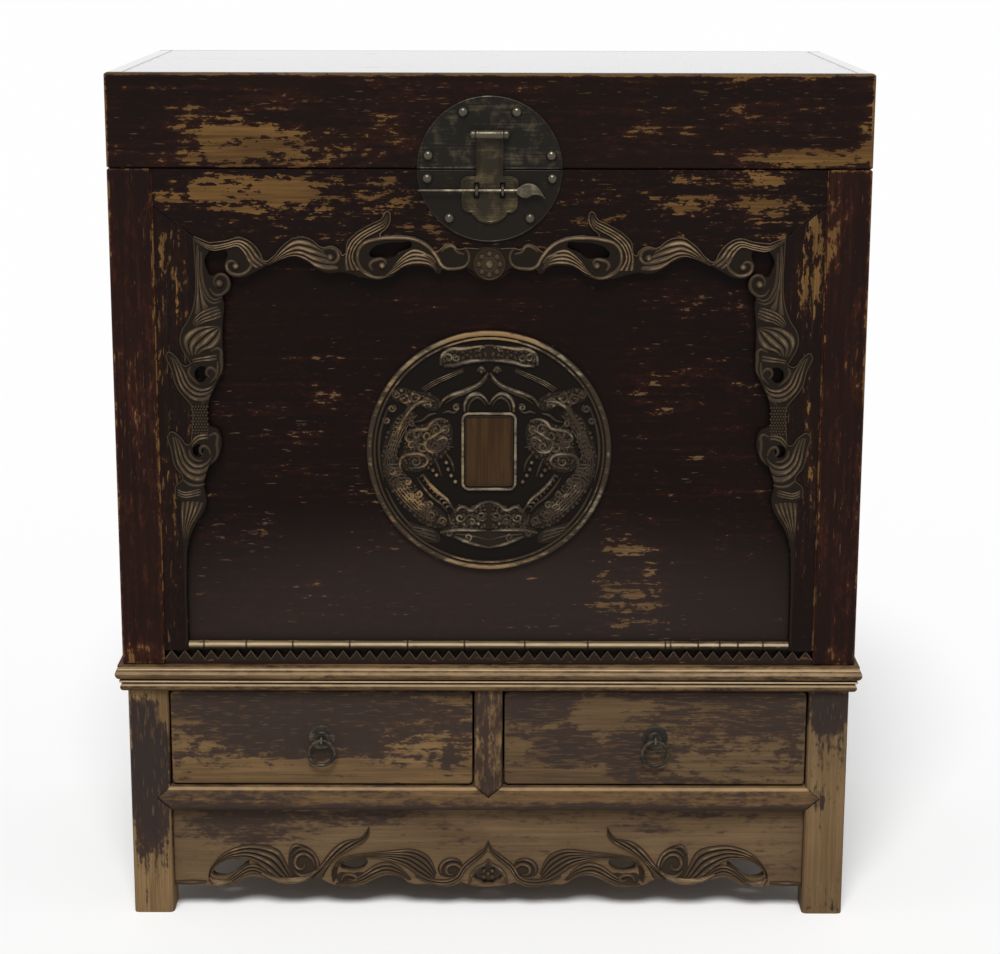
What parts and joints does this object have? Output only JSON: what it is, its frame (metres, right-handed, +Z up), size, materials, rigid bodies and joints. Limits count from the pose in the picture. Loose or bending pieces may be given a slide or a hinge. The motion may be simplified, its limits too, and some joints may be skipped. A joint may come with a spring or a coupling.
{
  "type": "carved chest on drawer stand",
  "caption": "Lacquered wooden chest with a hinged lid, round hasp lock and carved front, standing on a low drawer stand with ring pulls.",
  "frame": {"origin": "on the floor, in the middle of the object's footprint", "axes": "+Z up, -Y towards the carved front, +X to the right seen from the front"},
  "size_m": [0.867, 0.4996, 0.989],
  "materials": {
    "lacquer": "near-black red-brown lacquer, worn to tan wood",
    "red_lacquer": "red-brown lacquer, worn at the edges",
    "worn_wood": "worn brown wood with dark remains of lacquer",
    "bare_wood": "plain unfinished wood",
    "bronze": "dark bronze patina",
    "bright_bronze": "rubbed bronze"
  },
  "bodies": {
    "chest": {"box_side_left": "lacquer", "box_side_right": "lacquer", "box_back": "lacquer", "front_panel": "lacquer", "carved_top_rail": "lacquer", "carved_stile_left": "lacquer", "carved_stile_right": "lacquer", "medallion": "lacquer", "tooth_rail": "lacquer", "post_left": "red_lacquer", "post_right": "red_lacquer", "stand_frame_front": "worn_wood", "stand_frame_back": "worn_wood", "stand_frame_left": "worn_wood", "stand_frame_right": "worn_wood", "stand_leg_front_left": "worn_wood", "stand_leg_front_right": "worn_wood", "stand_leg_back_left": "worn_wood", "stand_leg_back_right": "worn_wood", "stand_side_left": "worn_wood", "stand_side_right": "worn_wood", "stand_back": "worn_wood", "drawer_rail": "worn_wood", "drawer_divider": "worn_wood", "carved_apron": "worn_wood", "bamboo_moulding": "worn_wood", "runner_left": "bare_wood", "runner_centre": "bare_wood", "runner_right": "bare_wood", "box_bottom": "bare_wood", "lock_plate_lower": "bronze", "hinge_left_box_leaf": "bronze", "hinge_right_box_leaf": "bronze", "hinge_left_pin": "bright_bronze", "hinge_right_pin": "bright_bronze"},
    "lid": {"lid_front": "lacquer", "lid_back": "lacquer", "lid_left": "lacquer", "lid_right": "lacquer", "lid_top": "lacquer", "hinge_left_lid_leaf": "bronze", "hinge_right_lid_leaf": "bronze", "lock_plate_upper": "bronze", "hasp_hinge_pin": "bright_bronze"},
    "hasp": {"hasp": "bronze"},
    "lock_pin": {"lock_pin": "bright_bronze"},
    "drawer_left": {"drawer_left_front": "worn_wood", "drawer_left_side_left": "bare_wood", "drawer_left_side_right": "bare_wood", "drawer_left_back": "bare_wood", "drawer_left_bottom": "bare_wood", "drawer_left_pull_plate": "bronze"},
    "ring_left": {"drawer_left_ring": "bronze"},
    "drawer_right": {"drawer_right_front": "worn_wood", "drawer_right_side_left": "bare_wood", "drawer_right_side_right": "bare_wood", "drawer_right_back": "bare_wood", "drawer_right_bottom": "bare_wood", "drawer_right_pull_plate": "bronze"},
    "ring_right": {"drawer_right_ring": "bronze"}
  },
  "joints": [
    {"name": "lid_hinge", "type": "hinge", "parent": "chest", "child": "lid", "pos_m": [0, 0.24525, 0.8845], "axis": [-1, 0, 0], "range_deg": [0, 100]},
    {"name": "hasp_swing", "type": "hinge", "parent": "lid", "child": "hasp", "pos_m": [0, -0.24215, 0.923], "axis": [-1, 0, 0], "range_deg": [0, 150]},
    {"name": "lock_pin_slide", "type": "slide", "parent": "chest", "child": "lock_pin", "axis": [1, 0, 0], "range_m": [0, 0.12]},
    {"name": "drawer_left_slide", "type": "slide", "parent": "chest", "child": "drawer_left", "axis": [0, -1, 0], "range_m": [0, 0.3]},
    {"name": "ring_left_swing", "type": "hinge", "parent": "drawer_left", "child": "ring_left", "pos_m": [-0.19525, -0.23605, 0.21725], "axis": [-1, 0, 0], "range_deg": [0, 95]},
    {"name": "drawer_right_slide", "type": "slide", "parent": "chest", "child": "drawer_right", "axis": [0, -1, 0], "range_m": [0, 0.3]},
    {"name": "ring_right_swing", "type": "hinge", "parent": "drawer_right", "child": "ring_right", "pos_m": [0.19525, -0.23605, 0.21725], "axis": [-1, 0, 0], "range_deg": [0, 95]}
  ]
}
